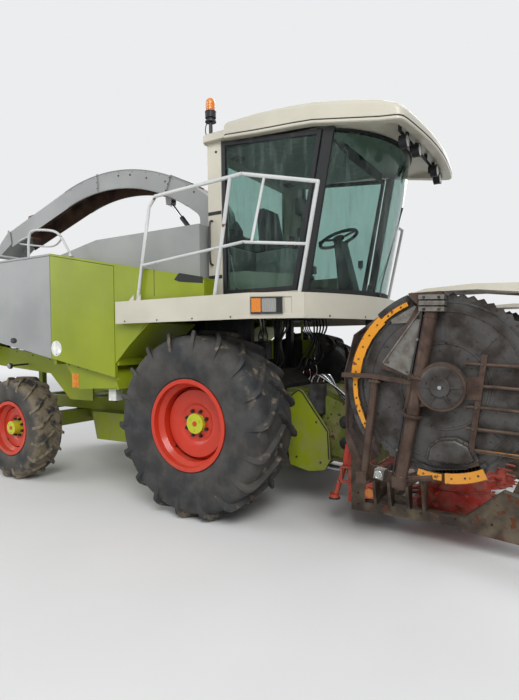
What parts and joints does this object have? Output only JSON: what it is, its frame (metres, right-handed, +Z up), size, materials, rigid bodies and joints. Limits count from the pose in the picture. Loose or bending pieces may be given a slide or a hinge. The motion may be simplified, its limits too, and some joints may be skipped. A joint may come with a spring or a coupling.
{
  "type": "self-propelled forage harvester with folded maize header",
  "caption": "Self-propelled forage harvester with cab, slewing discharge spout, steered rear wheels and a front maize header whose wings fold up for the road.",
  "frame": {"origin": "middle of the machine's box, on the ground under the tyres", "axes": "+X forward to the header, +Y to the machine's left, +Z up"},
  "size_m": [8.2182, 2.994, 4.0805],
  "materials": {
    "lime_paint": "semi-gloss",
    "dark_paint": "satin",
    "engine_iron": "matte",
    "grey_paint": "semi-gloss",
    "cream_paint": "semi-gloss",
    "tinted_glass": "clear, green tint",
    "seat_fabric": "woven",
    "black_plastic": "matte",
    "white_tube": "semi-gloss",
    "lamp_housing": "clear and amber lenses",
    "polished_rod": "polished",
    "red_paint": "semi-gloss",
    "worn_steel": "worn, with brown dust",
    "drum_steel": "worn",
    "tyre_rubber": "matte, dusty"
  },
  "bodies": {
    "machine": {"chassis": "lime_paint", "platform_frame": "lime_paint", "rear_hitch": "dark_paint", "front_axle": "dark_paint", "rear_axle": "lime_paint", "engine_block": "engine_iron", "body_shell": "lime_paint", "hood": "grey_paint", "chopper_housing": "dark_paint", "cab_frame": "cream_paint", "cab_roof": "cream_paint", "cab_glazing": "tinted_glass", "seat": "seat_fabric", "steering_column": "black_plastic", "platform": "cream_paint", "handrail_right": "white_tube", "handrail_left": "white_tube", "deck_rails": "white_tube", "ladder": "dark_paint", "lamps": "lamp_housing", "exhaust": "dark_paint"},
    "wheel_front_right": {"tyre_front_right": "tyre_rubber", "rim_front_right": "red_paint"},
    "wheel_front_left": {"tyre_front_left": "tyre_rubber", "rim_front_left": "red_paint"},
    "steer_right": {"knuckle_right": "dark_paint"},
    "steer_left": {"knuckle_left": "dark_paint"},
    "wheel_rear_right": {"tyre_rear_right": "tyre_rubber", "rim_rear_right": "red_paint"},
    "wheel_rear_left": {"tyre_rear_left": "tyre_rubber", "rim_rear_left": "red_paint"},
    "cab_door_right": {"door_right": "dark_paint", "door_glass_right": "tinted_glass"},
    "cab_door_left": {"door_left": "dark_paint", "door_glass_left": "tinted_glass"},
    "side_panel_front_right": {"panel_green_right": "lime_paint"},
    "side_panel_front_left": {"panel_green_left": "lime_paint"},
    "side_panel_rear_right": {"panel_grey_right": "grey_paint"},
    "side_panel_rear_left": {"panel_grey_left": "grey_paint"},
    "rear_gate": {"tail_gate": "dark_paint"},
    "turret": {"spout_turret": "dark_paint"},
    "spout": {"spout_arch": "grey_paint"},
    "flap": {"spout_flap": "grey_paint"},
    "tilt_barrel": {"spout_barrel": "dark_paint"},
    "tilt_rod": {"spout_rod": "polished_rod"},
    "header": {"feeder": "lime_paint", "header_frame": "red_paint"},
    "lift_barrel_pair": {"lift_barrels": "dark_paint"},
    "lift_rod_pair": {"lift_rods": "polished_rod"},
    "centre_drum_right": {"drum_inner_right": "red_paint"},
    "centre_drum_left": {"drum_inner_left": "red_paint"},
    "header_wing_right": {"wing_right": "worn_steel"},
    "header_wing_left": {"wing_left": "worn_steel"},
    "wing_drum_right": {"drum_outer_right": "drum_steel"},
    "wing_drum_left": {"drum_outer_left": "drum_steel"}
  },
  "joints": [
    {"name": "wheel_front_right_spin", "type": "hinge", "parent": "machine", "child": "wheel_front_right", "pos_m": [0.789, -1.13, 0.88], "axis": [0, 1, 0], "continuous": true},
    {"name": "wheel_front_left_spin", "type": "hinge", "parent": "machine", "child": "wheel_front_left", "pos_m": [0.789, 1.13, 0.88], "axis": [0, 1, 0], "continuous": true},
    {"name": "steer_right", "type": "hinge", "parent": "machine", "child": "steer_right", "pos_m": [-2.091, -0.76, 0.623], "axis": [0, 0, 1], "range_deg": [-40, 40]},
    {"name": "steer_left", "type": "hinge", "parent": "machine", "child": "steer_left", "pos_m": [-2.091, 0.76, 0.623], "axis": [0, 0, 1], "range_deg": [-40, 40]},
    {"name": "wheel_rear_right_spin", "type": "hinge", "parent": "steer_right", "child": "wheel_rear_right", "pos_m": [-2.091, -1.13, 0.623], "axis": [0, 1, 0], "continuous": true},
    {"name": "wheel_rear_left_spin", "type": "hinge", "parent": "steer_left", "child": "wheel_rear_left", "pos_m": [-2.091, 1.13, 0.623], "axis": [0, 1, 0], "continuous": true},
    {"name": "cab_door_right_hinge", "type": "hinge", "parent": "machine", "child": "cab_door_right", "pos_m": [0.869, -0.9, 2.8], "axis": [0, 0, -1], "range_deg": [0, 17]},
    {"name": "cab_door_left_hinge", "type": "hinge", "parent": "machine", "child": "cab_door_left", "pos_m": [0.869, 0.9, 2.8], "axis": [0, 0, 1], "range_deg": [0, 70]},
    {"name": "side_panel_front_right_hinge", "type": "hinge", "parent": "machine", "child": "side_panel_front_right", "pos_m": [-0.163, -1.37, 2], "axis": [0, 0, 1], "range_deg": [0, 80]},
    {"name": "side_panel_front_left_hinge", "type": "hinge", "parent": "machine", "child": "side_panel_front_left", "pos_m": [-0.163, 1.37, 2], "axis": [0, 0, -1], "range_deg": [0, 80]},
    {"name": "side_panel_rear_right_hinge", "type": "hinge", "parent": "machine", "child": "side_panel_rear_right", "pos_m": [-2.957, -1.37, 2.2], "axis": [0, 0, -1], "range_deg": [0, 80]},
    {"name": "side_panel_rear_left_hinge", "type": "hinge", "parent": "machine", "child": "side_panel_rear_left", "pos_m": [-2.957, 1.37, 2.2], "axis": [0, 0, 1], "range_deg": [0, 80]},
    {"name": "rear_gate_hinge", "type": "hinge", "parent": "machine", "child": "rear_gate", "pos_m": [-2.991, 0, 2.544], "axis": [0, 1, 0], "range_deg": [0, 75]},
    {"name": "spout_slew", "type": "hinge", "parent": "machine", "child": "turret", "pos_m": [0.179, 0, 2.9], "axis": [0, 0, 1], "range_deg": [-100, 100]},
    {"name": "spout_tilt", "type": "hinge", "parent": "turret", "child": "spout", "pos_m": [0.329, 0, 2.96], "axis": [0, 1, 0], "range_deg": [0, 30]},
    {"name": "spout_flap_hinge", "type": "hinge", "parent": "spout", "child": "flap", "pos_m": [-3.66485, 0, 3.38532], "axis": [0, 1, 0], "range_deg": [-30, 20]},
    {"name": "tilt_barrel_pin", "type": "hinge", "parent": "turret", "child": "tilt_barrel", "pos_m": [-0.131, 0, 2.914], "axis": [0, 1, 0], "range_deg": [-1, 36.76]},
    {"name": "tilt_rod_slide", "type": "slide", "parent": "tilt_barrel", "child": "tilt_rod", "axis": [-0.6402, 0, 0.7682], "range_m": [-0.003, 0.2234]},
    {"name": "header_lift", "type": "hinge", "parent": "machine", "child": "header", "pos_m": [1.139, 0, 1], "axis": [0, -1, 0], "range_deg": [-2.5, 12]},
    {"name": "lift_barrel_pin", "type": "hinge", "parent": "machine", "child": "lift_barrel_pair", "pos_m": [0.994, 0, 0.45], "axis": [0, -1, 0], "range_deg": [-2.69, 11]},
    {"name": "lift_rod_slide", "type": "slide", "parent": "lift_barrel_pair", "child": "lift_rod_pair", "axis": [0.995, 0, -0.1], "range_m": [-0.0272, 0.1192]},
    {"name": "centre_drum_right_spin", "type": "hinge", "parent": "header", "child": "centre_drum_right", "pos_m": [2.969, -0.48, 0.3], "axis": [0, 0, 1], "continuous": true},
    {"name": "centre_drum_left_spin", "type": "hinge", "parent": "header", "child": "centre_drum_left", "pos_m": [2.969, 0.48, 0.3], "axis": [0, 0, 1], "continuous": true},
    {"name": "wing_right_fold", "type": "hinge", "parent": "header", "child": "header_wing_right", "pos_m": [2.639, -1.02, 0.58], "axis": [1, 0, 0], "range_deg": [0, 90]},
    {"name": "wing_left_fold", "type": "hinge", "parent": "header", "child": "header_wing_left", "pos_m": [2.639, 1.02, 0.58], "axis": [-1, 0, 0], "range_deg": [0, 90]},
    {"name": "wing_drum_right_spin", "type": "hinge", "parent": "header_wing_right", "child": "wing_drum_right", "pos_m": [3.079, -1.385, 1.32], "axis": [0, 1, 0], "continuous": true},
    {"name": "wing_drum_left_spin", "type": "hinge", "parent": "header_wing_left", "child": "wing_drum_left", "pos_m": [3.079, 1.385, 1.32], "axis": [0, 1, 0], "continuous": true}
  ],
  "couplings": [
    {"joint": "steer_left", "follows": "steer_right", "ratio": 1},
    {"joint": "tilt_barrel_pin", "follows": "spout_tilt", "ratio": 1.192},
    {"joint": "tilt_rod_slide", "follows": "spout_tilt", "m_per_rad": 0.421},
    {"joint": "lift_barrel_pin", "follows": "header_lift", "ratio": 0.8754},
    {"joint": "lift_rod_slide", "follows": "header_lift", "m_per_rad": 0.5549}
  ]
}
